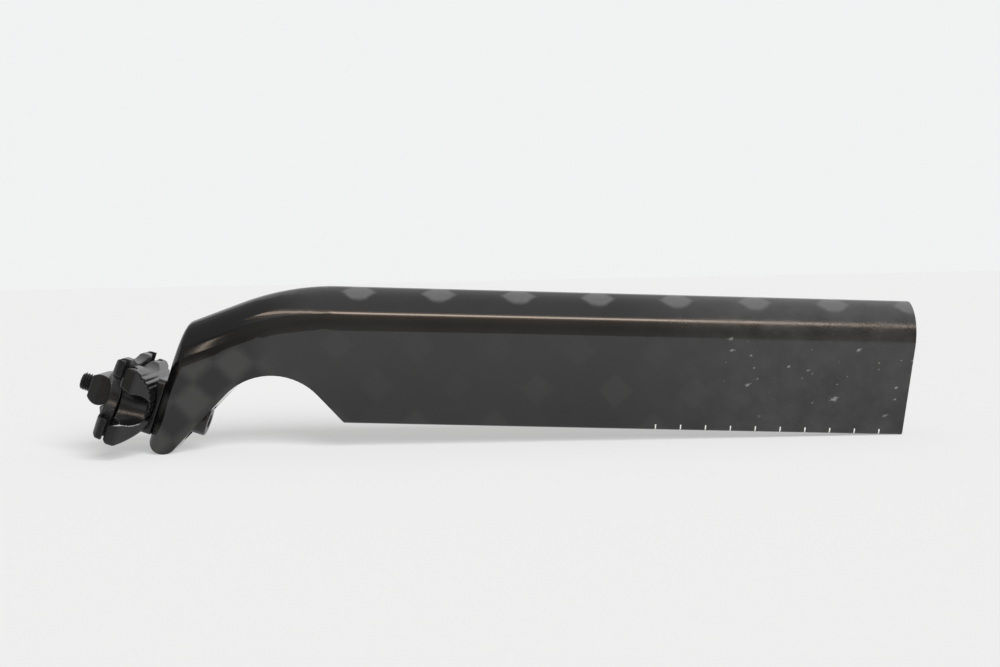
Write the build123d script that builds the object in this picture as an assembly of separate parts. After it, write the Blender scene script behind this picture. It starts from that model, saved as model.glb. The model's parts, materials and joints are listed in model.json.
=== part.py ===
from build123d import *
import os
from math import acos, atan2, cos, degrees, hypot, radians, sin, tan

# Bicycle seatpost with an aerofoil section and a rocking single-bolt saddle clamp.
# X runs along the post, with the open insertion end at X = 0 and the head at negative X.
# Z points to the rounded leading edge, and Y is across the bicycle. All sizes are in millimetres.

# Aerofoil section of the post
chord = 53.5
thickness = 25.0
nose_depth = 15.0
nose_taper = 5.5
tail_width = 10.0
tail_corner = 1.5
wall = 2.8

# Length and bend of the post
straight_length = 226.5
neck_angle = 22.2
nose_bend_radius = 100.0
neck_nose_depth = 13.0
neck_nose_taper = 0.5
end_slant = 2.0

# Scallop behind the neck, placed by its spacing from the seat point and its height above the tail face
scallop_spacing = 43.6
scallop_height = 18.25
scallop_radius = 24.1
neck_slope = 48.0
foot_slope = 46.0
tip_radius = 5.45

# Seat face on the head. The seat point, where the bolt crosses it, is placed from the start of the bend
seat_reach = 68.1
seat_height = 4.65
seat_angle = 17.0
rim_radius = 4.2
face_wall = 5.0

# Saddle rails and clamp, with heights measured from the seat face along the bolt
rail_diameter = 7.0
rail_spacing = 44.0
rail_height = 12.9
parting_height = 13.05
parting_gap = 0.4
ear_wall = 1.3
ear_corner = 1.5

# Lower cradle, which rocks about a line across the bicycle
cradle_radius = 17.0
heel_step = 1.6
cradle_front = 14.1
cradle_rear = 15.7
tilt_forward = 1.0
tilt_back = 5.0
tooth_pitch = 2.2
tooth_depth = 0.7
tooth_count = 13
tooth_width = 24.0
heel_start = 4.5
lower_scoop = 7.9
lower_scoop_taper = 3.4
lower_scoop_lean = 20.0
lower_scoop_shift = -1.3
lower_floor = 32.2

# Upper clamp
upper_front = 15.9
upper_rear = 14.8
upper_corner = 1.6
crown_radius = 150.0
crown_shift = -2.0
upper_scoop = 8.3
upper_scoop_shift = 1.3
upper_floor = 33.5
hub_width = 23.0
hub_slope = 35.0
nut_rise = 2.5

# Hollows that both clamp parts share
ear_lean = 45.0
end_hollow = 2.5
end_hollow_radius = 30.0

# Seat trough on the head
trough_length = 22.0
trough_width = 17.0
trough_height = 3.2
trough_corner = 2.0
trough_clearance = 0.12
trough_floor = 1.23

# Bolt, nut and washer
bolt_diameter = 7.0
bolt_length = 45.2
bolt_head_diameter = 12.0
bolt_head_height = 6.5
bolt_chamfer = 0.7
socket_size = 5.0
socket_depth = 3.2
bearing_depth = 12.8
washer_diameter = 12.4
washer_thickness = 1.5
nut_diameter = 11.8
nut_length = 20.0
nut_height = 23.0
nut_flat = 4.3
nut_bevel_width = 4.2
nut_bevel_length = 2.4

# Clearances
running_clearance = 0.05
hole_clearance = 0.3
seat_clearance = 0.1
pocket_clearance = 0.3

# Values worked out from the sizes above
margin = 40.0
touching = 0.01
half_chord = chord / 2
seat_distance = straight_length + seat_reach
scallop_distance = seat_distance - scallop_spacing
bolt_radius = bolt_diameter / 2
rail_radius = rail_diameter / 2
rail_offset = rail_spacing / 2
ear_radius = rail_radius + ear_wall
clamp_width = rail_spacing + 2 * ear_radius
lower_top = parting_height - parting_gap / 2
upper_bottom = parting_height + parting_gap / 2
rock_height = trough_floor + trough_clearance + cradle_radius
heel_radius = cradle_radius + heel_step
floor_radius = rock_height + bearing_depth - washer_thickness - seat_clearance
head_reach = rock_height + bearing_depth + bolt_head_height
bolt_slot_width = bolt_diameter + 2 * hole_clearance
pocket_width = max(washer_diameter, bolt_head_diameter) + 2 * pocket_clearance
pocket_front = head_reach * sin(radians(tilt_forward)) + pocket_width / 2
seat_point = (-seat_distance, seat_height - half_chord)
seat_slope = 90 - seat_angle
below = -half_chord - margin
above = half_chord + margin

# Clamp frame: local x is forwards, y is across, and z runs along the bolt to its tip
clamp_plane = Plane(
    origin=(seat_point[0], 0, seat_point[1]),
    x_dir=(sin(radians(seat_angle)), 0, cos(radians(seat_angle))),
    z_dir=(-cos(radians(seat_angle)), 0, sin(radians(seat_angle))),
)


def in_place(solid):
    """Moves a solid from the clamp frame to the post's frame."""
    return clamp_plane.location * solid


def cross_cylinder(radius, length, height):
    """Cylinder across the bicycle, in the clamp frame."""
    return Pos(0, 0, height) * Rot(X=90) * Cylinder(radius, length)


def rocking_slot(reach, width):
    """Slot for something of this width, at this distance from the line that the cradle rocks about."""
    front = reach * sin(radians(tilt_forward))
    rear = reach * sin(radians(tilt_back))
    return Pos((front - rear) / 2, 0) * SlotOverall(front + rear + width, width)


def meet(point_a, slope_a, point_b, slope_b):
    """Crossing of two lines in the side view, each given by a point and a slope in degrees."""
    rise_a = tan(radians(slope_a))
    rise_b = tan(radians(slope_b))
    x = (point_b[1] - point_a[1] + rise_a * point_a[0] - rise_b * point_b[0]) / (rise_a - rise_b)
    return (x, point_a[1] + rise_a * (x - point_a[0]))


def rounded_face(points, corners):
    """Face with straight sides, and some corners rounded: each of those gives its point and radius."""
    face = make_face(Polyline(*points, close=True))
    for point, radius in corners:
        face = fillet(face.vertices().sort_by_distance(point)[0], radius)
    return face


def section_face(depth, taper, inset):
    """Aerofoil section: a nose of three arcs, flanks tangent to it and a cut-off tail, moved in by inset."""
    nose_radius = thickness / 2 - taper
    cheek_radius = depth + (depth - thickness / 2) ** 2 / (2 * taper)
    shoulder = half_chord - depth
    cheek_x = thickness / 2 - cheek_radius
    join = degrees(atan2(depth - nose_radius, -cheek_x))
    lean = (thickness - tail_width) / 2 / (chord - depth)
    half_tail = tail_width / 2 + inset * lean - inset * hypot(1, lean)
    tail_height = inset - half_chord
    radius = cheek_radius - inset
    across = (half_tail - cheek_x) / radius
    along = (tail_height - shoulder) / radius
    touch = degrees(atan2(along, across) + acos(1 / hypot(across, along)))
    right = CenterArc((cheek_x, shoulder), radius, touch, join - touch)
    tip = CenterArc((0, half_chord - nose_radius), nose_radius - inset, join, 180 - 2 * join)
    left = CenterArc((-cheek_x, shoulder), radius, 180 - join, join - touch)
    tail = Line((-half_tail, tail_height), (half_tail, tail_height))
    flanks = [Line(left @ 1, tail @ 0), Line(tail @ 1, right @ 0)]
    return make_face(Curve() + [right, tip, left, tail, *flanks])


def across_path(point, direction):
    """Plane across the post at a point of its centre line, with its y axis towards the nose."""
    return Plane(origin=point, x_dir=(0, -1, 0), z_dir=direction)


def straight_run(face):
    """A section carried along the straight run."""
    return extrude(across_path((margin, 0, 0), (-1, 0, 0)) * face, amount=straight_length + margin)


def bent_neck(inset):
    """The rearward bend, on which the nose grows round, and the neck that follows it."""
    with BuildLine(Plane.XZ) as path:
        JernArc((-straight_length, 0), (-1, 0), nose_bend_radius - half_chord, neck_angle)
    bend = path.wires()[0]
    first = across_path(bend @ 0, bend % 0) * section_face(nose_depth, nose_taper, inset)
    last = across_path(bend @ 1, bend % 1) * section_face(neck_nose_depth, neck_nose_taper, inset)
    return sweep([first, last], path=bend, multisection=True) + extrude(last, amount=3 * margin)


def side_prism(inset, head_points, tip_corners):
    """The post's side view, extruded across it: the scallop, moved in by inset, and the lines of the head."""
    radius = scallop_radius + inset
    centre = scallop_height - scallop_radius - half_chord
    foot_side = (radius * sin(radians(foot_slope)), radius * cos(radians(foot_slope)))
    neck_side = (-radius * sin(radians(neck_slope)), radius * cos(radians(neck_slope)))
    peak = meet(foot_side, -foot_slope, neck_side, neck_slope)
    peak = (peak[0] - scallop_distance, peak[1] + centre)
    foot = meet(peak, -foot_slope, (0, below), 0)
    first = meet(peak, neck_slope, *head_points[0])
    top = meet(*head_points[-1], (0, above), 0)
    corners = [point for point, slope in head_points[1:]]
    ends = [(2 * margin, above), (2 * margin, below)]
    rounded = [(peak, radius)] + [(first, tip) for tip in tip_corners]
    face = rounded_face([foot, peak, first, *corners, top, *ends], rounded)
    return extrude(Plane.XZ * face, amount=2 * thickness, both=True)


def post_shell():
    """Moulded post: hollow straight run, bent neck, scallop, and a head cut for the bolt."""
    section = section_face(nose_depth, nose_taper, 0)
    neck = split(bent_neck(0), bisect_by=clamp_plane, keep=Keep.BOTTOM)
    height = lambda edge: abs(clamp_plane.to_local_coords(edge.center()).Z)
    rim = neck.edges().filter_by(lambda edge: height(edge) < touching).sort_by(SortBy.LENGTH)[-1]
    neck = fillet(rim, rim_radius)
    rounded_section = fillet(section.vertices().group_by(Axis.Y)[0], tail_corner)
    body = straight_run(rounded_section) + neck
    body = body & side_prism(0, [(seat_point, seat_slope)], [tip_radius])
    end = Plane(origin=(0, 0, 0), z_dir=(cos(radians(end_slant)), 0, -sin(radians(end_slant))))
    body = split(body, bisect_by=end, keep=Keep.BOTTOM)
    inner = section_face(nose_depth, nose_taper, wall)
    corner = clamp_plane.from_local_coords((pocket_front + wall, 0, -face_wall))
    corner = (corner.X, corner.Z)
    hollow = straight_run(inner) + bent_neck(wall)
    hollow = hollow & side_prism(wall, [(corner, -seat_angle), (corner, seat_slope)], [])
    pocket = extrude(rocking_slot(head_reach, pocket_width), amount=-margin)
    pocket = pocket - cross_cylinder(floor_radius, 2 * thickness, rock_height)
    slot = extrude(rocking_slot(floor_radius, bolt_slot_width), amount=margin, both=True)
    return body - hollow - in_place(slot) - in_place(pocket)


def cradle_seat():
    """Trough on the head, in which the cradle rocks."""
    block = Box(trough_length, trough_width, trough_height, align=(Align.CENTER, Align.CENTER, Align.MIN))
    block = fillet(block.edges().filter_by(Axis.Z), trough_corner)
    block = block - cross_cylinder(cradle_radius + trough_clearance, clamp_width, rock_height)
    return block - extrude(rocking_slot(cradle_radius, bolt_slot_width), amount=margin, both=True)


def leaning_ends(front, rear, shoulder, slope):
    """Side view of a clamp part, extruded across it: upright ends that lean in above the shoulder."""
    run = (front + rear) / 3
    top = shoulder + run * tan(radians(slope))
    outline = [(-rear, -margin), (front, -margin), (front, shoulder)]
    outline += [(front - run, top), (run - rear, top), (-rear, shoulder)]
    face = rounded_face(outline, [(outline[2], ear_corner), (outline[5], ear_corner)])
    return extrude(Plane.XZ * face, amount=margin, both=True)


def clamp_cuts(front, rear):
    """Cuts that both clamp parts share: a hollow in each end, the rail grooves and the bolt's hole."""
    end = Cylinder(end_hollow_radius, 2 * margin)
    rail = Rot(Y=90) * Cylinder(rail_radius, 2 * margin)
    return [
        Pos(front - end_hollow + end_hollow_radius, 0, 0) * end,
        Pos(end_hollow - rear - end_hollow_radius, 0, 0) * end,
        Pos(0, -rail_offset, rail_height) * rail,
        Pos(0, rail_offset, rail_height) * rail,
        Cylinder(bolt_radius + hole_clearance, 4 * margin),
    ]


def lower_cradle():
    """Lower clamp: a half-round bar with teeth underneath, rear heels and grooves for the rails."""
    half = clamp_width / 2
    ear_low = rail_height - ear_radius
    low = rock_height - heel_radius - ear_wall
    outline = [(-half, lower_top), (half, lower_top), (half, ear_low)]
    outline += [(tooth_width / 2, low), (-tooth_width / 2, low), (-half, ear_low)]
    rounded = [(point, ear_corner) for point in (outline[0], outline[1], outline[2], outline[5])]
    front_view = extrude(Plane.YZ * rounded_face(outline, rounded), amount=margin, both=True)
    side_view = leaning_ends(cradle_front, cradle_rear, lower_top - ear_corner, ear_lean)
    bar = cross_cylinder(cradle_radius, 2 * clamp_width, rock_height)
    groove = Rot(Y=45) * Box(tooth_depth * 2 ** 0.5, 4 * margin, tooth_depth * 2 ** 0.5)
    for count in range(tooth_count):
        turn = (count - (tooth_count - 1) / 2) * degrees(tooth_pitch / cradle_radius)
        bar = bar - Pos(0, 0, rock_height) * Rot(Y=turn) * Pos(0, 0, -cradle_radius) * groove
    heel = cross_cylinder(heel_radius, 2 * clamp_width, rock_height)
    heel = split(heel, bisect_by=Plane.YZ.offset(-heel_start), keep=Keep.BOTTOM)
    heel = heel - Box(4 * margin, tooth_width, 4 * margin)
    body = (bar + heel) & front_view & side_view
    scoop = Cone(lower_scoop - lower_scoop_taper, lower_scoop + lower_scoop_taper, 2 * lower_top)
    for side in (-1, 1):
        place = Pos(lower_scoop_shift, side * (lower_floor / 2 + lower_scoop), lower_top)
        body = body - place * Rot(X=-side * lower_scoop_lean) * scoop
    for cut in clamp_cuts(cradle_front, cradle_rear):
        body = body - cut
    return body


def upper_clamp():
    """Upper clamp: four hooked ears on a hub, with a trough across it for the nut."""
    ear_top = rail_height + ear_radius
    hub_top = nut_height - nut_rise
    web = Pos(0, (upper_bottom + ear_top) / 2) * Rectangle(rail_spacing, ear_top - upper_bottom)
    ear = Pos(rail_offset, rail_height) * Circle(ear_radius)
    ears = web + ear + mirror(ear, Plane.YZ)
    ears = ears - Pos(0, upper_bottom - margin) * Rectangle(4 * margin, 2 * margin)
    crown = Pos(crown_shift, 0, 0) * cross_cylinder(crown_radius, 2 * clamp_width, ear_top - crown_radius)
    body = extrude(Plane.YZ * ears, amount=2 * margin, both=True) & crown
    body = body & leaning_ends(upper_front, upper_rear, ear_top - upper_corner, ear_lean)
    hub = Polyline(
        (-rail_offset, upper_bottom), (rail_offset, upper_bottom),
        (hub_width / 2, hub_top), (-hub_width / 2, hub_top), close=True,
    )
    hub = extrude(Plane.YZ * make_face(hub), amount=2 * margin, both=True)
    body = body + (hub & leaning_ends(upper_front, upper_rear, ear_top - 2 * upper_corner, hub_slope))
    for side in (-1, 1):
        place = Pos(upper_scoop_shift, side * (upper_floor / 2 + upper_scoop), 0)
        body = body - place * Cylinder(upper_scoop, 2 * margin)
    for cut in clamp_cuts(upper_front, upper_rear):
        body = body - cut
    return body - cross_cylinder(nut_diameter / 2 + seat_clearance, 2 * clamp_width, nut_height)


def barrel_nut():
    """Cross nut with a flat where the bolt's tip comes out, and the ends of that flat bevelled."""
    body = Rot(X=90) * Cylinder(nut_diameter / 2, nut_length)
    body = split(body, bisect_by=Plane.XY.offset(nut_flat), keep=Keep.BOTTOM)
    half = nut_length / 2
    bevel = Polyline(
        (half, nut_flat - nut_bevel_width), (half, nut_flat), (half - nut_bevel_length, nut_flat), close=True
    )
    bevel = extrude(Plane.YZ * make_face(bevel), amount=nut_diameter, both=True)
    body = body - bevel - mirror(bevel, Plane.XZ)
    return Pos(0, 0, nut_height) * (body - Cylinder(bolt_radius + running_clearance, margin))


def clamp_bolt():
    """Socket cap bolt on the bolt axis."""
    head = Cylinder(bolt_head_diameter / 2, bolt_head_height, align=(Align.CENTER, Align.CENTER, Align.MAX))
    head = chamfer(head.edges().group_by(Axis.Z)[0], bolt_chamfer)
    socket = extrude(RegularPolygon(socket_size / 2, 6, major_radius=False), amount=socket_depth)
    head = head - Pos(0, 0, -bolt_head_height) * socket
    shank = Cylinder(bolt_radius, bolt_length, align=(Align.CENTER, Align.CENTER, Align.MIN))
    shank = chamfer(shank.edges().group_by(Axis.Z)[-1], bolt_chamfer)
    return Pos(0, 0, -bearing_depth) * (head + shank)


def bolt_washer():
    """Washer with a flat face for the bolt's head and a hollow face that slides on the pocket's floor."""
    disc = Cylinder(washer_diameter / 2, 2 * washer_thickness, align=(Align.CENTER, Align.CENTER, Align.MIN))
    disc = Pos(0, 0, -bearing_depth) * disc
    disc = disc - cross_cylinder(floor_radius + seat_clearance, 2 * thickness, rock_height)
    return disc - Cylinder(bolt_radius + running_clearance, 4 * margin)


os.makedirs("parts", exist_ok=True)
pieces = {
    "post_shell": post_shell(),
    "cradle_seat": in_place(cradle_seat()),
    "lower_cradle": in_place(lower_cradle()),
    "upper_clamp": in_place(upper_clamp()),
    "barrel_nut": in_place(barrel_nut()),
    "clamp_bolt": in_place(clamp_bolt()),
    "bolt_washer": in_place(bolt_washer()),
}
for name, solid in pieces.items():
    export_step(solid, f"parts/{name}.step")
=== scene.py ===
# %% [markdown]
# # A carbon seatpost with a saddle clamp
#
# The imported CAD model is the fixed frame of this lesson. Everything here is finish and fine shape: the
# carbon skin of the post, softened forgings for the clamp, and a bolt with a real thread. The frame comes
# first, because each later cell takes its places from it.

# %% Load the frame
import json
from math import atan2, cos, pi, radians, sin, tan

import bmesh
import bpy
from mathutils import Matrix, Vector


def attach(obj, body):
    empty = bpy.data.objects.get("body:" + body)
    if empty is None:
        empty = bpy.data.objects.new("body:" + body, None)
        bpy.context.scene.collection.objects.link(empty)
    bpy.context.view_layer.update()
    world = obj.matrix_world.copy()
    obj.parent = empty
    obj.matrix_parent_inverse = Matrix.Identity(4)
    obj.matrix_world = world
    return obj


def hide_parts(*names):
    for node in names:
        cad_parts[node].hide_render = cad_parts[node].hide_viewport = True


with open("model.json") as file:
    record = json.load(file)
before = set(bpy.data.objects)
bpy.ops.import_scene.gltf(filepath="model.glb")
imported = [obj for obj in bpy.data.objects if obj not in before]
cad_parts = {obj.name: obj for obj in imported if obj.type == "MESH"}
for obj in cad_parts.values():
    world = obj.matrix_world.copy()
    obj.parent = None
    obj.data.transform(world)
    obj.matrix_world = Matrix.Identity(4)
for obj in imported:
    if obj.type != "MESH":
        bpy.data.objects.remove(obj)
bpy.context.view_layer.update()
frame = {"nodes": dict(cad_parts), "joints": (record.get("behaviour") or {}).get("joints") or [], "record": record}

mm = 0.001
scene = bpy.context.scene
scene.view_settings.view_transform = "Standard"
print("nodes:", sorted(frame["nodes"]))

# %% [markdown]
# ## The camera
#
# The photograph is a plain product shot. In this frame it looks at the side of the post from a little above.
# A camera could be aimed by eye, but the outline of a long straight object shows each small error. These
# values come from fitting a pinhole camera to the post's edges and its scale marks, so the render lies over
# the photograph.

# %% Camera at the photograph's view
camera_place = Vector((-188.84, -502.11, 32.13)) * mm
camera_pitch = radians(87.437)
camera_roll = radians(-1.547)
camera_yaw = radians(-2.896)

lens = bpy.data.cameras.new("product_camera")
lens.sensor_fit = "HORIZONTAL"
lens.sensor_width = 36.0
lens.lens = 45.705
camera = bpy.data.objects.new("product_camera", lens)
camera.location = camera_place
camera.rotation_euler = (camera_pitch, camera_roll, camera_yaw)
scene.collection.objects.link(camera)
scene.camera = camera
print("camera at", [round(v, 3) for v in camera.location])

# %% [markdown]
# ## Wiring helpers
#
# Each finish below is a small graph of shader nodes. Written out node by node such a graph is long to read,
# so a short helper adds a node, sets its options, and takes each input either as a plain value or as the
# output of another node. Effects that are shared go in node groups with named sockets.

# %% Wiring


class Wiring:
    """Adds nodes to one node tree and links them as it goes."""

    def __init__(self, tree):
        self.tree = tree

    def feed(self, socket, value):
        if isinstance(value, bpy.types.NodeSocket):
            self.tree.links.new(value, socket)
        else:
            socket.default_value = value

    def add(self, kind, inputs=None, **options):
        node = self.tree.nodes.new("ShaderNode" + kind)
        for name, value in options.items():
            setattr(node, name, value)
        for name, value in (inputs or {}).items():
            self.feed(node.inputs[name], value)
        return node

    def math(self, operation, *values):
        return self.add("Math", dict(enumerate(values)), operation=operation).outputs[0]

    def product(self, first, *others):
        for other in others:
            first = self.math("MULTIPLY", first, other)
        return first

    def smooth_step(self, value, low, high):
        names = {"Value": value, "From Min": low, "From Max": high}
        return self.add("MapRange", names, interpolation_type="SMOOTHSTEP").outputs[0]

    def noise(self, vector, scale, detail=2.0, roughness=0.5):
        names = {"Vector": vector, "Scale": scale, "Detail": detail, "Roughness": roughness}
        return self.add("TexNoise", names).outputs["Fac"]

    def mix(self, kind, label, factor, first, second):
        node = self.add("Mix", data_type=kind)
        sockets = {socket.identifier: socket for socket in node.inputs}
        self.feed(sockets["Factor_Float"], factor)
        self.feed(sockets["A_" + label], first)
        self.feed(sockets["B_" + label], second)
        return next(socket for socket in node.outputs if socket.identifier == "Result_" + label)

    def blend(self, factor, first, second):
        return self.mix("RGBA", "Color", factor, first, second)

    def turned(self, vector, angle, axis):
        names = {"Vector": vector, "Angle": angle, "Axis": axis}
        return self.add("VectorRotate", names, rotation_type="AXIS_ANGLE").outputs[0]

    def stretched(self, vector, factors):
        return self.add("VectorMath", {0: vector, 1: factors}, operation="MULTIPLY").outputs[0]

    def offset(self, vector, start):
        return self.add("VectorMath", {0: vector, 1: start}, operation="SUBTRACT").outputs[0]

    def along(self, vector, direction):
        return self.add("VectorMath", {0: vector, 1: direction}, operation="DOT_PRODUCT").outputs["Value"]

    def combined(self, **values):
        return self.add("CombineXYZ", values).outputs[0]

    def parts(self, vector):
        return self.add("SeparateXYZ", {0: vector}).outputs

    def place(self):
        return self.add("TexCoord").outputs["Object"]

    def place_in_mm(self):
        return self.add("VectorMath", {0: self.place(), "Scale": 1 / mm}, operation="SCALE").outputs[0]


print("the wiring helper is ready")

# %% Groups and materials


def new_group(name, inputs, outputs):
    """A shader node group: gives its wiring, its inputs and the function that sets an output."""
    group = bpy.data.node_groups.new(name, "ShaderNodeTree")
    kinds = {"value": "NodeSocketFloat", "vector": "NodeSocketVector"}
    for label, (kind, value) in inputs.items():
        socket = group.interface.new_socket(label, in_out="INPUT", socket_type=kinds[kind])
        if value is not None:
            socket.default_value = value
    for label in outputs:
        group.interface.new_socket(label, in_out="OUTPUT", socket_type=kinds["value"])
    entry = group.nodes.new("NodeGroupInput")
    leave = group.nodes.new("NodeGroupOutput")

    def put_out(label, socket):
        group.links.new(socket, leave.inputs[label])

    return Wiring(group), entry.outputs, put_out


def place_group(wiring, name, inputs):
    """Puts a shared node group in a material, with its own values, and gives its outputs."""
    node = wiring.add("Group", node_tree=bpy.data.node_groups[name])
    for label, value in inputs.items():
        wiring.feed(node.inputs[label], value)
    return node.outputs


def new_material(name):
    """A material with a Principled shader: gives the material, its wiring and the shader's inputs."""
    material = bpy.data.materials.new(name)
    material.use_nodes = True
    wiring = Wiring(material.node_tree)
    return material, wiring, material.node_tree.nodes["Principled BSDF"].inputs


print("the helpers for groups and materials are ready")

# %% [markdown]
# ## The table
#
# The post can't stand, so it lies on the tip of its head and on the tail corner of its open end. The table
# is a large pale plane through those two places, found from the mesh itself. Its shadow could be left as it
# falls, but paper in daylight is never that dark: nearly half of what the camera sees of the table is a
# plain glow.

# %% Resting place
head_distance = 100 * mm

post = frame["nodes"]["post_shell"]
corners = [vertex.co for vertex in post.data.vertices]
heel = min(corners, key=lambda point: point.z - point.x)
head_side = [point for point in corners if point.x < heel.x - head_distance]
rest_slope = max((heel.z - point.z) / (heel.x - point.x) for point in head_side)
rest_tilt = -atan2(rest_slope, 1)
print("the table tilts", round(rest_tilt * 180 / pi, 2), "degrees")

# %% Table


def stage_mesh(name, points, faces, material):
    """A mesh that belongs to the stage."""
    mesh = bpy.data.meshes.new(name)
    mesh.from_pydata(points, [], faces)
    mesh.materials.append(material)
    piece = bpy.data.objects.new(name, mesh)
    scene.collection.objects.link(piece)
    return piece


def seen_rays(wiring):
    """One for rays from the camera, a reflection or a clear body, zero for light that only scatters."""
    path = wiring.add("LightPath").outputs
    seen = wiring.math("MAXIMUM", path["Is Camera Ray"], path["Is Glossy Ray"])
    return wiring.math("MAXIMUM", seen, path["Is Transmission Ray"])


table_reach = 12.0
table_colour = (0.88, 0.88, 0.88, 1)
table_glow = (0.89, 0.895, 0.90, 1)
glow_share = 0.45

paper, wire, skin = new_material("pale_paper")
skin["Base Color"].default_value = table_colour
skin["Roughness"].default_value = 0.9
skin["Specular IOR Level"].default_value = 0.0
glow = wire.add("Emission", {"Color": table_glow, "Strength": 1.0})
seen = wire.math("MULTIPLY", seen_rays(wire), glow_share)
lit = paper.node_tree.nodes["Principled BSDF"].outputs[0]
both = wire.add("MixShader", {0: seen, 1: lit, 2: glow.outputs[0]})
wire.feed(paper.node_tree.nodes["Material Output"].inputs["Surface"], both.outputs[0])
square = [(-table_reach, -table_reach, 0), (table_reach, -table_reach, 0)]
square += [(table_reach, table_reach, 0), (-table_reach, table_reach, 0)]
table = stage_mesh("table", square, [(0, 1, 2, 3)], paper)
table.location = heel
table.rotation_euler = (0, rest_tilt, 0)
print("table through", [round(v, 4) for v in heel])

# %% [markdown]
# ## What the gloss reflects
#
# Gloss black shows what is round it rather than its own colour. The photograph's dark band along the nose is
# taken for an unlit room behind the camera, brown towards its ceiling. Large black cards would do in a
# studio, but here they would also darken the table, so the room is a curved screen that reflections alone
# can see. It starts on the table a hand's length before the post, and nearer on the left, runs back, and
# then rises. A second screen, on the left and higher up, dims what the neck reflects. It fades into the sky,
# so that the bend shows no edge of it.

# %% Tones of the unlit room
room_distance = 1.6
room_top = radians(32)
room_height = room_distance * tan(room_top)
room_low = (0.30, 0.268, 0.24, 1)
room_high = (0.80, 0.60, 0.45, 1)
room_left = (0.34, 0.325, 0.315, 1)
room_left_span = (-0.40, -0.62)
side_tone = (0.43, 0.42, 0.425, 1)
side_span = (-0.5, -1.0)
sky_seen = (0.88, 0.885, 0.89, 1)


def glowing(name):
    """A material that only glows: gives the material, its wiring and the socket of the glow's colour."""
    material = bpy.data.materials.new(name)
    material.use_nodes = True
    wiring = Wiring(material.node_tree)
    light = wiring.add("Emission", {"Strength": 1.0})
    wiring.feed(material.node_tree.nodes["Material Output"].inputs["Surface"], light.outputs[0])
    return material, wiring, light.inputs["Color"]


unlit_room, wire, colour = glowing("unlit_room")
place = wire.parts(wire.place())
rise = wire.add("MapRange", {"Value": place["Z"], "From Min": 0.0, "From Max": room_height}).outputs[0]
tone = wire.blend(wire.math("POWER", rise, 2.0), room_low, room_high)
wire.feed(colour, wire.blend(wire.smooth_step(place["X"], *room_left_span), tone, room_left))

unlit_side, wire, colour = glowing("unlit_side")
place = wire.parts(wire.place())
wire.feed(colour, wire.blend(wire.smooth_step(place["X"], *side_span), sky_seen, side_tone))
print("tones of the room:", unlit_room.name, unlit_side.name)

# %% Screens of the unlit room
room_centre = Vector((-0.15, 0, 0))
room_spread = radians(80)
room_start = 0.19
room_start_left = 0.105
left_from = radians(30)
left_over = radians(24)
side_distance = 1.9
side_rises = (22, 45, 60, 80)
side_first = -16
side_last = -142
screen_steps = 32
over_table = 0.5 * mm


def on_table(point):
    """The same point, just over the table."""
    return Vector((point.x, point.y, heel.z + rest_slope * (point.x - heel.x) + over_table))


def looking(turn, rise):
    """Direction from the post, by its turn from the camera's side and its rise."""
    return Vector((sin(turn) * cos(rise), -cos(turn) * cos(rise), sin(rise)))


def room_screen(name, rows, material):
    """A screen that reflections alone can see, from rows of points."""
    width = len(rows[0])
    faces = []
    for row in range(len(rows) - 1):
        for k in range(width - 1):
            first = row * width + k
            faces.append((first, first + 1, first + width + 1, first + width))
    screen = stage_mesh(name, [point for row in rows for point in row], faces, material)
    screen.visible_camera = False
    screen.visible_diffuse = False
    screen.visible_shadow = False
    screen.visible_transmission = False
    return screen


front_rows = []
side_rows = []
for step in range(screen_steps + 1):
    turn = room_spread * (2 * step / screen_steps - 1)
    share = min(max((-turn - left_from) / left_over, 0.0), 1.0)
    share = share * share * (3 - 2 * share)
    start = room_start + share * (room_start_left - room_start)
    near = on_table(room_centre + looking(turn, 0) * start / cos(turn))
    far = on_table(room_centre + looking(turn, 0) * room_distance)
    front_rows.append([near, far, far + Vector((0, 0, room_height))])
    turn = radians(side_first + (side_last - side_first) * step / screen_steps)
    side_rows.append([room_centre + looking(turn, radians(rise)) * side_distance for rise in side_rises])
front_screen = room_screen("unlit_room_front", front_rows, unlit_room)
side_screen = room_screen("unlit_room_side", side_rows, unlit_side)
print("screens seen in reflections:", front_screen.name, side_screen.name)

# %% [markdown]
# ## Sky and lamps
#
# A pale world lights everything evenly, and a soft sun behind the camera throws the shadow backwards, as in
# the photograph. The copper line along the nose is a warm strip lamp with a dimmer halo round it. With one
# straight strip the line lay too low where the nose bends, so the strip has a second part that climbs to the
# left. A thin tilted strip makes the short streak on the neck. These could be plain lamps, but then they
# would tint the table, so only reflections show them.

# %% Sky
sky_light = (0.31, 0.30, 0.285, 1)

world = bpy.data.worlds.new("pale_world")
world.use_nodes = True
wire = Wiring(world.node_tree)
sky = world.node_tree.nodes["Background"]
wire.feed(sky.inputs["Color"], wire.blend(seen_rays(wire), sky_light, sky_seen))
sky.inputs["Strength"].default_value = 1.0
scene.world = world
print("sky:", world.name)

# %% Lamps
lamp_aim = Vector((-0.16, 0, 0))
daylight = (0.985, 0.99, 1.0)
copper = (1.0, 0.82, 0.68)
ember = (1.0, 0.66, 0.42)


def lamp(name, kind, azimuth, elevation, distance, roll=0, **options):
    """A lamp aimed at the post: azimuth from the camera's side, elevation and roll in degrees."""
    light = bpy.data.lights.new(name, kind)
    for label, value in options.items():
        setattr(light, label, value)
    out = looking(radians(azimuth), radians(elevation))
    piece = bpy.data.objects.new(name, light)
    piece.location = lamp_aim + out * distance
    facing = (-out).to_track_quat("-Z", "Y").to_matrix() @ Matrix.Rotation(radians(roll), 3, "Z")
    piece.rotation_euler = facing.to_euler()
    scene.collection.objects.link(piece)
    return piece


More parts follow.
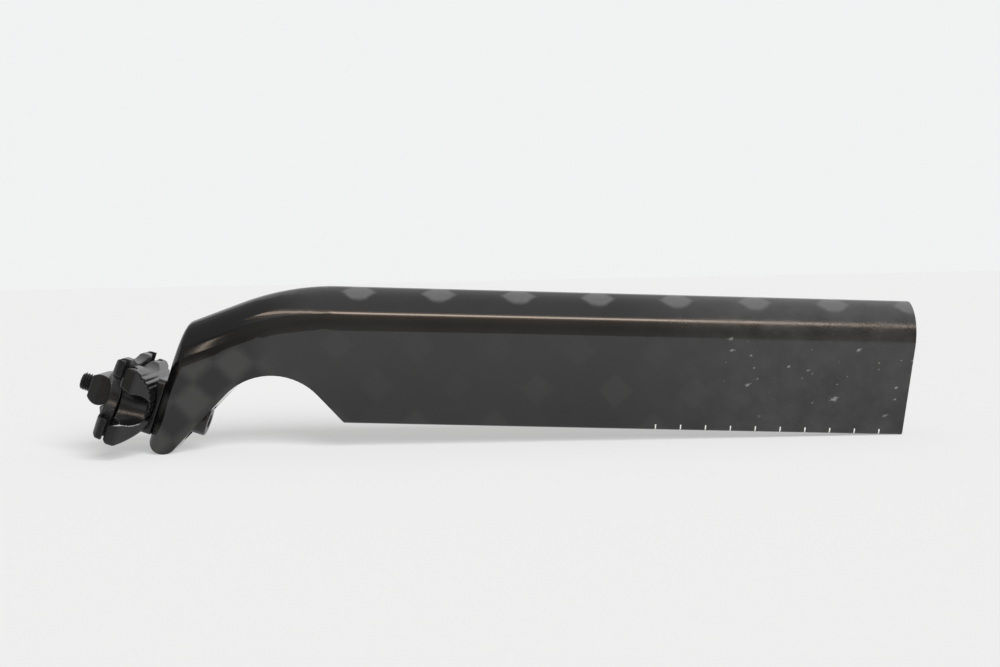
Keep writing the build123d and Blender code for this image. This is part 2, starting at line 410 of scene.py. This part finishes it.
def warm_lamp(name, azimuth, elevation, distance, roll, length, width, strength, colour):
    """A lamp that only reflections show, from its strength in watts a square metre."""
    piece = lamp(name, "AREA", azimuth, elevation, distance, roll, shape="RECTANGLE", size=length,
                 size_y=width, energy=strength * length * width, color=colour)
    piece.visible_diffuse = False
    return piece


sun = lamp("soft_sun", "SUN", 22, 31, 2.0, energy=4.1, angle=radians(36), color=daylight)
sun.visible_glossy = False
strips = [
    warm_lamp("strip", 13, 36.0, 1.5, 0, 0.95, 0.13, 28, copper),
    warm_lamp("strip_halo", 13, 36.0, 1.53, 0, 0.97, 0.36, 2.6, ember),
    warm_lamp("strip_end", -22.3, 41.9, 1.49, -39.0, 0.772, 0.10, 16, copper),
    warm_lamp("strip_end_halo", -22.3, 41.9, 1.52, -39.0, 0.79, 0.28, 2.2, ember),
    warm_lamp("neck_strip", -20.7, 10.75, 1.515, 24.2, 0.014, 0.60, 22, copper),
]
print("lamps:", sun.name, [strip.name for strip in strips])

# %% [markdown]
# ## Where a point lies on the post
#
# The finish changes along the post and round its section, so each point needs to know where it lies. Plain
# object coordinates would do on the straight run, but not round the nose or down the bent neck. This group
# unrolls the post: it turns the neck back in line with the straight run and measures, in millimetres, how
# far a point lies along the post, how high it lies in the section, and how far round from the nose it is.
# The carbon cloth did not turn with the neck: its threads run straight on across the bend. So a second pair
# of outputs gives the place on the flat cloth.

# %% Group that unrolls the post
straight_length = 226.5
bend_radius = 73.25
neck_angle = radians(22.2)
shoulder_height = 11.75
nose_girth = 21.3

wire, entry, put_out = new_group(
    "post_map", {}, ("Along", "Height", "Girth", "Across", "Cloth X", "Cloth Y"))
point = wire.place_in_mm()
spoke = wire.offset(point, (-straight_length, 0, -bend_radius))
spoke_parts = wire.parts(spoke)
bent = wire.math("ARCTAN2", wire.math("MULTIPLY", spoke_parts["X"], -1.0), spoke_parts["Z"])
bent = wire.add("Clamp", {"Value": bent, "Min": 0.0, "Max": neck_angle}).outputs[0]
straight = wire.parts(wire.turned(spoke, bent, (0, 1, 0)))
along = wire.math("SUBTRACT", straight["X"], wire.math("MULTIPLY", bent, bend_radius))
along = wire.math("SUBTRACT", along, straight_length)
height = wire.math("SUBTRACT", straight["Z"], bend_radius)
side = wire.math("ABSOLUTE", straight["Y"])
above = wire.math("MAXIMUM", wire.math("SUBTRACT", height, shoulder_height), 0.0)
below = wire.math("MAXIMUM", wire.math("SUBTRACT", shoulder_height, height), 0.0)
nose_turn = wire.math("MULTIPLY", wire.math("ARCTAN2", side, above), 2 * nose_girth / pi)
girth = wire.math("ADD", nose_turn, below)
flat = wire.parts(point)
put_out("Along", along)
put_out("Height", height)
put_out("Girth", girth)
put_out("Across", straight["Y"])
put_out("Cloth X", flat["X"])
put_out("Cloth Y", wire.math("ADD", girth, wire.math("SUBTRACT", height, flat["Z"])))
print("group post_map unrolls the post")

# %% [markdown]
# ## Wide carbon tape
#
# Under the clear coat lie wide flat tapes of carbon, woven at 45 degrees, so the skin is a checker of
# diamonds whose fibres run one way or the other, with fine streaks along the fibres. Which diamonds look
# pale depends on the slope of the skin, as the fibres catch the light along their own run, and this sheen
# is painted into the colour: one diamond in four over the nose, another one in four on the flank, and every
# second one on the neck. A checker texture gives the squares but not the fibres or these sets, so the cells
# are worked out from the cloth's own coordinates.

# %% Group for the carbon tapes
tape_diagonal = 15.6
tape_start = 31.4
tape_turn = 5.5
tape_edge = (0.52, 0.32)
fibre_fine = 60.0
fibre_long = 1.5
fibre_layer = 7.0

wire, entry, put_out = new_group(
    "carbon_tape",
    {"Cloth X": ("value", 0.0), "Cloth Y": ("value", 0.0)},
    ("Nose Sheen", "Flank Sheen", "Neck Sheen", "Patch", "Streak"),
)
shifted = wire.math("ADD", entry["Cloth X"], tape_start)
round_it = wire.math("SUBTRACT", entry["Cloth Y"], tape_turn)
first = wire.math("DIVIDE", wire.math("ADD", shifted, round_it), tape_diagonal)
second = wire.math("DIVIDE", wire.math("SUBTRACT", shifted, round_it), tape_diagonal)
first_cell = wire.math("ROUND", first)
second_cell = wire.math("ROUND", second)
parity = wire.math("FLOORED_MODULO", wire.math("ADD", first_cell, second_cell), 2.0)
from_first = wire.math("ABSOLUTE", wire.math("SUBTRACT", first, first_cell))
from_second = wire.math("ABSOLUTE", wire.math("SUBTRACT", second, second_cell))
inside = wire.smooth_step(wire.math("MAXIMUM", from_first, from_second), *tape_edge)
first_odd = wire.math("FLOORED_MODULO", first_cell, 2.0)
first_even = wire.math("SUBTRACT", 1.0, first_odd)
second_even = wire.math("SUBTRACT", 1.0, wire.math("FLOORED_MODULO", second_cell, 2.0))
# Painted sheen: each set marks the diamonds whose fibres catch the light at that slope of the skin.
put_out("Nose Sheen", wire.product(first_even, second_even, inside))
put_out("Flank Sheen", wire.product(first_odd, second_even, inside))
put_out("Neck Sheen", wire.math("MULTIPLY_ADD", wire.math("SUBTRACT", 0.5, parity), inside, 0.5))

one_tape = wire.combined(X=first_cell, Y=wire.math("MULTIPLY", second_cell, parity))
put_out("Patch", wire.add("TexWhiteNoise", {"Vector": one_tape}, noise_dimensions="3D").outputs["Value"])
one_way = wire.combined(X=wire.math("MULTIPLY", first, fibre_fine),
                        Y=wire.math("MULTIPLY", second, fibre_long))
other_way = wire.combined(X=wire.math("MULTIPLY", first, fibre_long),
                          Y=wire.math("MULTIPLY", second, fibre_fine), Z=fibre_layer)
put_out("Streak", wire.noise(wire.mix("VECTOR", "Vector", parity, one_way, other_way), 1.0, 2.0, 0.6))
print("group carbon_tape lays tapes", round(tape_diagonal / 2 ** 0.5, 1), "mm wide")

# %% [markdown]
# ## Scuffs
#
# Handling leaves fine scratches in many directions, a fine grit and some pale nicks. The scratches come from
# stretched noise: a noise that is long in one direction and narrow in the other is cut off high, so that
# only its thin crests are left. Noise cut off high would do for the nicks too, but gives little say in their
# number and size. They are the middles of Voronoi cells instead: a few cells have a nick, each of its own
# size, with a ragged edge.

# %% Group for scratches and nicks
scratch_runs = ((8, 9.0, 0.55), (-52, 7.0, 0.40), (63, 8.0, 0.48))
scratch_crest = (0.66, 0.74)
nick_lean = radians(25)
nick_stretch = (0.65, 1.2, 1.0)
nick_sizes = ((6.0, 0.3, 0.9, 0.70), (2.7, 0.1, 0.3, 0.90))
nick_edge = (1.0, 0.4)
grit_stretch = (2.6, 0.5, 1.0)
upright = (0, 0, 1)

wire, entry, put_out = new_group(
    "scuffs",
    {"Place": ("vector", None), "Amount": ("value", 1.0)},
    ("Scratch", "Nick", "Cloud", "Grit"),
)
scratch = 0.0
for lean, slimness, scale in scratch_runs:
    slim = wire.stretched(wire.turned(entry["Place"], radians(lean), upright), (1, slimness, slimness))
    crest = wire.smooth_step(wire.noise(slim, scale, 3.0, 0.6), *scratch_crest)
    scratch = wire.math("MAXIMUM", scratch, crest)
ragged = wire.math("MULTIPLY_ADD", wire.noise(entry["Place"], 1.3, 2.0, 0.6), 2.6, -0.3)
longer = wire.stretched(wire.turned(entry["Place"], nick_lean, upright), nick_stretch)
nick = 0.0
for spacing, smallest, spread, rarity in nick_sizes:
    options = {"Vector": longer, "Scale": 1 / spacing}
    cells = wire.add("TexVoronoi", options, voronoi_dimensions="2D").outputs
    chance = wire.add("SeparateColor", {0: cells["Color"]}).outputs
    from_middle = wire.product(cells["Distance"], spacing, ragged)
    reach = wire.math("MULTIPLY_ADD", wire.math("POWER", chance["Red"], 2.0), spread, smallest)
    dent = wire.smooth_step(wire.math("DIVIDE", from_middle, reach), *nick_edge)
    dent = wire.math("MULTIPLY", dent, wire.math("GREATER_THAN", chance["Green"], rarity))
    nick = wire.math("MAXIMUM", nick, dent)
put_out("Scratch", wire.math("MULTIPLY", scratch, entry["Amount"]))
put_out("Nick", wire.math("MULTIPLY", nick, entry["Amount"]))
put_out("Cloud", wire.noise(entry["Place"], 0.09, 3.0, 0.6))
put_out("Grit", wire.noise(wire.stretched(entry["Place"], grit_stretch), 1.0, 2.0, 0.6))
print("group scuffs is ready:", len(scratch_runs), "runs of scratches,", len(nick_sizes), "sizes of nicks")

# %% [markdown]
# ## The carbon skin
#
# The post is black carbon under a clear gloss coat. A coat layer could be added over a carbon layer, but a
# scratch has to dull the very surface that reflects, so one glossy surface carries both: its colour holds
# the tapes with their painted sheen and a painted sheen on the upper flank, and its roughness and bump hold
# the wear. The last ten centimetres slide in and out of a frame, so they are hazy, scratched and nicked,
# with the palest scratches at the very end. They also carry the scale: ten short white strokes, ten
# millimetres apart, printed up from the tail edge.

# %% Where weave and wear lie
worn_along = (-125.0, -55.0)
rubbed_along = (-62.0, -8.0)
knocked_along = (-86.0, -74.0)
knocked_height = (-22.0, -17.0)
flank_height = (14.0, 9.0)
# painted sheen: where the flank grows lighter towards its top
upper_sheen_height = (-24.0, 8.0)
neck_along = (-243.0, -264.0)
before_bend_along = (-243.0, -231.0)
# where the painted sheen of the nose diamonds lies round the nose
nose_sheen_girths = (11.0, 8.0)
hazy_girths = (17.0, 9.0)

carbon, wire, skin = new_material("gloss_carbon")
place = place_group(wire, "post_map", {})
flat = wire.combined(X=place["Along"], Y=place["Girth"], Z=place["Across"])
ragged = wire.math("MULTIPLY_ADD", wire.noise(flat, 0.35, 3.0, 0.6), 2.0, -1.0)
cloth_x = wire.math("ADD", place["Cloth X"], ragged)
tape = place_group(wire, "carbon_tape", {"Cloth X": cloth_x, "Cloth Y": place["Cloth Y"]})
worn = wire.smooth_step(place["Along"], *worn_along)
scuff = place_group(wire, "scuffs", {"Place": flat, "Amount": worn})

rubbed_end = wire.smooth_step(place["Along"], *rubbed_along)
on_flank = wire.smooth_step(place["Height"], *flank_height)
on_neck = wire.smooth_step(place["Along"], *neck_along)
off_neck = wire.math("SUBTRACT", 1.0, on_neck)
# Painted sheen: the flank is lighter towards its top.
flank_top_sheen = wire.product(wire.smooth_step(place["Height"], *upper_sheen_height), on_flank, off_neck)
# Painted sheen: the pale nose diamonds, where the tows catch the light from above.
nose_sheen_mask = wire.product(wire.smooth_step(place["Girth"], *nose_sheen_girths), tape["Nose Sheen"],
                         wire.smooth_step(place["Along"], *before_bend_along))
hazy_nose = wire.math("MULTIPLY", wire.smooth_step(place["Girth"], *hazy_girths), 0.5)
knocked = wire.product(wire.smooth_step(place["Along"], *knocked_along), on_flank,
                       wire.smooth_step(place["Height"], *knocked_height))
nick = wire.math("MULTIPLY", scuff["Nick"], knocked)
print("places on the post:", [socket.name for socket in place])

# %% Colour of the carbon
weave_dark = (0.0045, 0.0045, 0.0046, 1)
weave_pale = (0.0135, 0.0134, 0.0128, 1)
neck_dark = (0.002, 0.002, 0.002, 1)
# the paler diamonds on the neck are painted sheen
neck_sheen_pale = (0.023, 0.0225, 0.0215, 1)
# grey of the worn haze, and of the painted sheen on the upper flank
haze_and_sheen_grey = (0.034, 0.034, 0.034, 1)
# painted sheen of the tows over the nose
nose_sheen_grey = (0.10, 0.10, 0.101, 1)
scratch_grey = (0.16, 0.16, 0.16, 1)
nick_grey = (0.20, 0.20, 0.20, 1)
# shares of painted sheen: on the neck diamonds, on the upper flank and on the nose diamonds
neck_sheen_share = 0.9
upper_sheen_share = 0.2
nose_sheen_share = 0.9
nick_share = 0.7

tone = wire.math("MULTIPLY_ADD", tape["Streak"], 0.2, wire.math("MULTIPLY", tape["Patch"], 0.2))
tone = wire.math("MULTIPLY_ADD", wire.noise(flat, 0.06, 2.0, 0.6), 0.35, tone)
# Painted sheen: one diamond in four on the flank is paler.
flank_sheen_amount = wire.math("MULTIPLY", tape["Flank Sheen"], wire.math("MULTIPLY_ADD", tape["Patch"], 0.5, 0.15))
tone = wire.math("MULTIPLY_ADD", flank_sheen_amount, on_flank, tone)
weave = wire.blend(tone, weave_dark, weave_pale)
# Painted sheen: every second diamond on the neck is paler.
neck_sheen_tone = wire.blend(wire.math("MULTIPLY", tape["Neck Sheen"], on_flank), neck_dark, neck_sheen_pale)
weave = wire.blend(wire.math("MULTIPLY", on_neck, neck_sheen_share), weave, neck_sheen_tone)
# Painted sheen: a lighter top of the flank.
weave = wire.blend(wire.math("MULTIPLY", flank_top_sheen, upper_sheen_share), weave, haze_and_sheen_grey)
cloudy = wire.math("MULTIPLY_ADD", scuff["Cloud"], 1.4, wire.math("SUBTRACT", hazy_nose, 0.3))
weave = wire.blend(wire.math("MULTIPLY", worn, cloudy), weave, haze_and_sheen_grey)
# Painted sheen on the pale nose diamonds.
nose_sheen_amount = wire.math("MULTIPLY", nose_sheen_mask, wire.math("MULTIPLY_ADD", tape["Streak"], 0.8, 0.4))
weave = wire.blend(wire.math("MULTIPLY", nose_sheen_amount, nose_sheen_share), weave, nose_sheen_grey)
pale_scratch = wire.math("MULTIPLY", scuff["Scratch"], wire.math("MULTIPLY_ADD", rubbed_end, 0.16, 0.10))
weave = wire.blend(pale_scratch, weave, scratch_grey)
weave = wire.blend(wire.math("MULTIPLY", nick, nick_share), weave, nick_grey)
print("weave from", weave_dark[:3], "to", weave_pale[:3])

# %% Printed scale
half_chord = 26.75
mark_pitch = 10.0
mark_offset = 0.45
mark_count = 10
mark_width = 0.45
mark_height = 2.2
mark_white = (0.62, 0.62, 0.60, 1)

from_mark = wire.math("DIVIDE", wire.math("ADD", place["Along"], mark_offset), mark_pitch)
from_mark = wire.math("ABSOLUTE", wire.math("SUBTRACT", from_mark, wire.math("ROUND", from_mark)))
on_mark = wire.math("LESS_THAN", wire.math("MULTIPLY", from_mark, mark_pitch), mark_width / 2)
low_enough = wire.math("LESS_THAN", place["Height"], mark_height - half_chord)
past_first = wire.math("LESS_THAN", place["Along"], -mark_pitch / 2)
before_last = wire.math("GREATER_THAN", place["Along"], -(mark_count + 0.5) * mark_pitch)
printed = wire.product(on_mark, low_enough, past_first, before_last)
wire.feed(skin["Base Color"], wire.blend(printed, weave, mark_white))
print("scale of", mark_count, "strokes,", mark_pitch, "mm apart")

# %% Gloss and relief of the carbon
clean_gloss = 0.06
scratch_gloss = 0.2
cloud_gloss = 0.16
worn_gloss = 0.02
print_gloss = 0.45
relief_depth = 0.04 * mm


def dress(node, material):
    """Gives a CAD node its finish."""
    node.data.materials.clear()
    node.data.materials.append(material)
    print(material.name, "on", node.name)


haze = wire.math("MULTIPLY", worn, wire.math("MULTIPLY_ADD", scuff["Cloud"], cloud_gloss, worn_gloss))
gloss = wire.math("ADD", wire.math("MULTIPLY_ADD", scuff["Scratch"], scratch_gloss, clean_gloss), haze)
gloss = wire.math("MAXIMUM", gloss, wire.math("MULTIPLY", printed, print_gloss))
wire.feed(skin["Roughness"], gloss)
skin["IOR"].default_value = 1.5

relief = wire.math("MULTIPLY_ADD", scuff["Scratch"], -1.0, wire.math("MULTIPLY", nick, -1.5))
grit_depth = wire.math("MULTIPLY_ADD", rubbed_end, 5.0, 2.0)
relief = wire.math("MULTIPLY_ADD", wire.math("MULTIPLY", scuff["Grit"], worn), grit_depth, relief)
bump = wire.add("Bump", {"Strength": 0.35, "Distance": relief_depth, "Height": relief})
wire.feed(skin["Normal"], bump.outputs[0])
dress(post, carbon)

# %% [markdown]
# ## Black metal
#
# The clamp parts are forged aluminium, blasted and anodised black, so they are satin with a fine grain.
# Where hands and tools touch, the corners have polished to a lighter grey, and where the saddle's rails have
# rubbed the lower ears, the lips of the grooves are bare metal. Wear could be painted on by hand, but the
# mesh's own pointiness finds each corner. It needs dense meshes, and the softened forgings below give it
# that. The lips are those corners of the cradle that lie far out, past the parting, and a little below the
# middle of a rail.

# %% Groups for grain and edge wear
patchy_wear = (0.42, 0.66)

wire, entry, put_out = new_group("blasted_grain", {"Grain": ("value", 2.2)}, ("Height", "Cloud"))
point = wire.place_in_mm()
put_out("Height", wire.noise(point, entry["Grain"], 3.0, 0.6))
put_out("Cloud", wire.noise(point, 0.22, 3.0, 0.55))

wire, entry, put_out = new_group("edge_wear", {"Start": ("value", 0.53), "End": ("value", 0.62)}, ("Edge",))
sharp = wire.add("NewGeometry").outputs["Pointiness"]
edge = wire.smooth_step(sharp, entry["Start"], entry["End"])
patchy = wire.smooth_step(wire.noise(wire.place_in_mm(), 0.7, 3.0, 0.6), *patchy_wear)
put_out("Edge", wire.math("MULTIPLY", edge, patchy))
print("groups blasted_grain and edge_wear are ready")

# %% Group for the bare lips
rail = next(mount for mount in frame["record"]["mounts"] if mount["name"] == "saddle_rail_right")
rail_place = tuple(value / mm for value in rail["pos_m"])
rail_axis = tuple(rail["axis"])
off_parting = (rail_axis[2], 0, -rail_axis[0])
lip_sideways = (16.1, 16.9)
lip_past_parting = (2.2, 3.2)
lip_low = (-9.8, -9.2)
lip_high = (-5.6, -6.2)

wire, entry, put_out = new_group("lip_rub", {"Start": ("value", 0.52), "End": ("value", 0.565)}, ("Bare",))
point = wire.place_in_mm()
arm = wire.offset(point, rail_place)
along_rail = wire.along(arm, rail_axis)
sideways = wire.math("ABSOLUTE", wire.parts(point)["Y"])
sharp = wire.add("NewGeometry").outputs["Pointiness"]
put_out("Bare", wire.product(
    wire.smooth_step(sharp, entry["Start"], entry["End"]),
    wire.smooth_step(sideways, *lip_sideways),
    wire.smooth_step(wire.along(arm, off_parting), *lip_past_parting),
    wire.smooth_step(along_rail, *lip_low),
    wire.smooth_step(along_rail, *lip_high),
))
print("group lip_rub is ready")

# %% Black metal materials
bare_metal = (0.46, 0.46, 0.47, 1)
corner_share = 0.5
corner_polish = 0.08
grain_gloss = 0.16


def black_metal(name, dark, pale, worn_grey, gloss, grain, depth, rubbed=False):
    """A dark metal: two tones in clouds, paler worn corners, a fine grain and, if rubbed, bare lips."""
    material, wiring, inputs = new_material(name)
    texture = place_group(wiring, "blasted_grain", {"Grain": grain})
    corner = place_group(wiring, "edge_wear", {})
    tone = wiring.blend(texture["Cloud"], (*dark, 1), (*pale, 1))
    tone = wiring.blend(wiring.math("MULTIPLY", corner["Edge"], corner_share), tone, (*worn_grey, 1))
    if rubbed:
        tone = wiring.blend(place_group(wiring, "lip_rub", {})["Bare"], tone, bare_metal)
    wiring.feed(inputs["Base Color"], tone)
    rough = wiring.math("MULTIPLY_ADD", texture["Height"], grain_gloss, gloss - grain_gloss / 2)
    wiring.feed(inputs["Roughness"], wiring.math("MULTIPLY_ADD", corner["Edge"], -corner_polish, rough))
    bump = wiring.add("Bump", {"Strength": 0.4, "Distance": depth * mm, "Height": texture["Height"]})
    wiring.feed(inputs["Normal"], bump.outputs[0])
    inputs["IOR"].default_value = 1.45
    return material


forging = ((0.003, 0.003, 0.0034), (0.009, 0.0088, 0.0088), (0.06, 0.06, 0.062), 0.28, 2.6, 0.03)
steel = ((0.004, 0.004, 0.0042), (0.010, 0.0098, 0.0095), (0.09, 0.088, 0.085), 0.26, 3.5, 0.02)
forging_black = black_metal("anodised_black", *forging)
rubbed_black = black_metal("anodised_black_rubbed", *forging, rubbed=True)
steel_black = black_metal("oiled_black_steel", *steel)
print("metals:", forging_black.name, rubbed_black.name, steel_black.name)

# %% [markdown]
# ## Softened forgings
#
# The CAD solids have the right shape with sharp corners. A forging has none: every corner is a small round.
# Bevels would need clean edges all round, and these bodies have hollows that cross at odd angles, so each
# one is rebuilt on a fine voxel grid and smoothed a little. That rounds every corner by a fraction of a
# millimetre and gives the dense even mesh that the edge wear needs.

# %% Softened copies of the clamp parts
weld_distance = 0.002 * mm


def softened(node, name, body, material, voxel, passes):
    """A smooth-cornered stand-in for a CAD node."""
    mesh = frame["nodes"][node].data.copy()
    mesh.name = name
    mesh.materials.clear()
    mesh.materials.append(material)
    piece = bpy.data.objects.new(name, mesh)
    scene.collection.objects.link(piece)
    weld = piece.modifiers.new("weld", "WELD")
    weld.merge_threshold = weld_distance
    grid = piece.modifiers.new("grid", "REMESH")
    grid.mode = "VOXEL"
    grid.voxel_size = voxel * mm
    grid.use_smooth_shade = True
    soften = piece.modifiers.new("soften", "SMOOTH")
    soften.factor = 0.5
    soften.iterations = passes
    bpy.context.view_layer.update()
    shaped = bpy.data.meshes.new_from_object(piece.evaluated_get(bpy.context.evaluated_depsgraph_get()))
    piece.modifiers.clear()
    piece.data = shaped
    shaped.name = name
    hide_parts(node)
    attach(piece, body)
    print(name, len(shaped.polygons), "faces")
    return piece


softened("lower_cradle", "lower_cradle_forging", "cradle", rubbed_black, 0.34, 4)
softened("upper_clamp", "upper_clamp_forging", "jaw", forging_black, 0.30, 4)
softened("barrel_nut", "barrel_nut_turned", "jaw", steel_black, 0.20, 3)
softened("cradle_seat", "cradle_seat_trough", "post", forging_black, 0.20, 2)
dress(frame["nodes"]["bolt_washer"], steel_black)

# %% [markdown]
# ## The clamp bolt
#
# A socket cap bolt is a turned part, so it is built as rings round its axis. Each ring is a list of
# distances from the axis: plain circles for the head, hexagons down the socket, and along the shank a ridge
# that climbs one pitch in each turn, which is the thread. A screw modifier could wind a thread too, but it
# leaves open ends at the tip and the head.

# %% Axis and sizes of the bolt
bolt_turn = next(joint for joint in frame["joints"] if joint["name"] == "bolt_turn")
bolt_axis = Vector(bolt_turn["axis"])
bolt_origin = Vector(bolt_turn["pos_m"])

bolt_bearing = -12.8
bolt_length = 45.2
bolt_radius = 3.5
head_height = 6.5
head_radius = 6.0
head_round = 0.9
head_edge = 0.25
neck_round = 0.3
bolt_low = bolt_bearing - head_height
bolt_tip = bolt_bearing + bolt_length
print("bolt axis", [round(v, 3) for v in bolt_axis], "from", bolt_low, "to", bolt_tip, "mm")

# %% Rings of the head
ring_points = 72
round_steps = 6
socket_reach = 2.5
socket_depth = 3.2
socket_chamfer = 0.42
socket_cone = 0.9
centre_hole = 0.05

turns = [2 * pi * k / ring_points for k in range(ring_points)]
rings = []


def add_ring(height, distance):
    """One ring: its height along the axis and its distance from the axis, plain or by direction."""
    rings.append([(distance(turn) if callable(distance) else distance, turn, height) for turn in turns])


def socket_side(turn):
    """Distance from the axis to the side of the hexagon socket, in the direction of turn."""
    return socket_reach / cos((turn + pi / 6) % (pi / 3) - pi / 6)


socket_floor = bolt_low + socket_depth
add_ring(socket_floor + socket_cone, centre_hole)
add_ring(socket_floor, 0.97 * socket_reach)
add_ring(socket_floor, socket_side)
add_ring(bolt_low + socket_chamfer, socket_side)
add_ring(bolt_low, lambda turn: max(socket_side(turn), 1.16 * socket_reach))
add_ring(bolt_low, 1.25 * socket_reach)
for step in range(round_steps + 1):
    lean = pi / 2 * step / round_steps
    add_ring(bolt_low + head_round - head_round * cos(lean),
             head_radius - head_round + head_round * sin(lean))
add_ring(bolt_bearing - head_edge, head_radius)
add_ring(bolt_bearing, head_radius - head_edge)
print("bolt head:", len(rings), "rings")

# %% Rings of the shank and thread
thread_pitch = 1.0
thread_depth = 0.58
thread_start = 6.0
thread_steps = 8
thread_fade = 1.5
thread_gap = 0.8
crest_share = 0.15
flank_share = 0.7
tip_chamfer = 0.7
tip_inset = 0.15


def thread_ridge(height, turn):
    """Depth of the thread below its crest: flat crests and roots with sloping flanks between them."""
    phase = (height / thread_pitch - turn / (2 * pi)) % 1.0
    flank = abs(phase - 0.5) * 2
    return thread_depth * min(max((flank - crest_share) / flank_share, 0.0), 1.0)


def add_thread_ring(height):
    """One ring of the thread, which fades in at its start and is chamfered at the tip."""
    fade = min((height - bolt_bearing - thread_start) / thread_fade, 1.0)
    crest = bolt_radius - max(height - (bolt_tip - tip_chamfer), 0.0)
    add_ring(height, lambda turn: min(bolt_radius - fade * thread_ridge(height, turn), crest))


add_ring(bolt_bearing, bolt_radius + neck_round)
add_ring(bolt_bearing + neck_round, bolt_radius)
add_ring(bolt_bearing + thread_start - thread_gap, bolt_radius)
height = bolt_bearing + thread_start
while height < bolt_tip:
    add_thread_ring(height)
    height += thread_pitch / thread_steps
add_ring(bolt_tip, bolt_radius - thread_depth - tip_inset)
add_ring(bolt_tip, centre_hole)
print("whole bolt:", len(rings), "rings")

# %% Bolt from its rings
sharp_angle = radians(35)

across = Vector((0, 1, 0))
upward = -bolt_axis
forward = across.cross(upward)
points = []
for ring in rings:
    for distance, turn, height in ring:
        offset = distance * (cos(turn) * forward + sin(turn) * across) + height * upward
        points.append(bolt_origin + offset * mm)
faces = []
for row in range(len(rings) - 1):
    for k in range(ring_points):
        after = (k + 1) % ring_points
        faces.append((row * ring_points + k, row * ring_points + after,
                      (row + 1) * ring_points + after, (row + 1) * ring_points + k))
last_row = (len(rings) - 1) * ring_points
faces.append(tuple(range(ring_points))[::-1])
faces.append(tuple(range(last_row, last_row + ring_points)))

bolt_mesh = bpy.data.meshes.new("clamp_bolt_threaded")
bolt_mesh.from_pydata(points, [], faces)
bolt_mesh.materials.append(steel_black)
bolt = bpy.data.objects.new("clamp_bolt_threaded", bolt_mesh)
scene.collection.objects.link(bolt)
shaper = bmesh.new()
shaper.from_mesh(bolt_mesh)
bmesh.ops.recalc_face_normals(shaper, faces=shaper.faces)
shaper.to_mesh(bolt_mesh)
shaper.free()
bolt_mesh.shade_smooth()
bolt_mesh.set_sharp_from_angle(angle=sharp_angle)
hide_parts("clamp_bolt")
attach(bolt, "bolt")
print("bolt:", len(bolt_mesh.polygons), "faces")
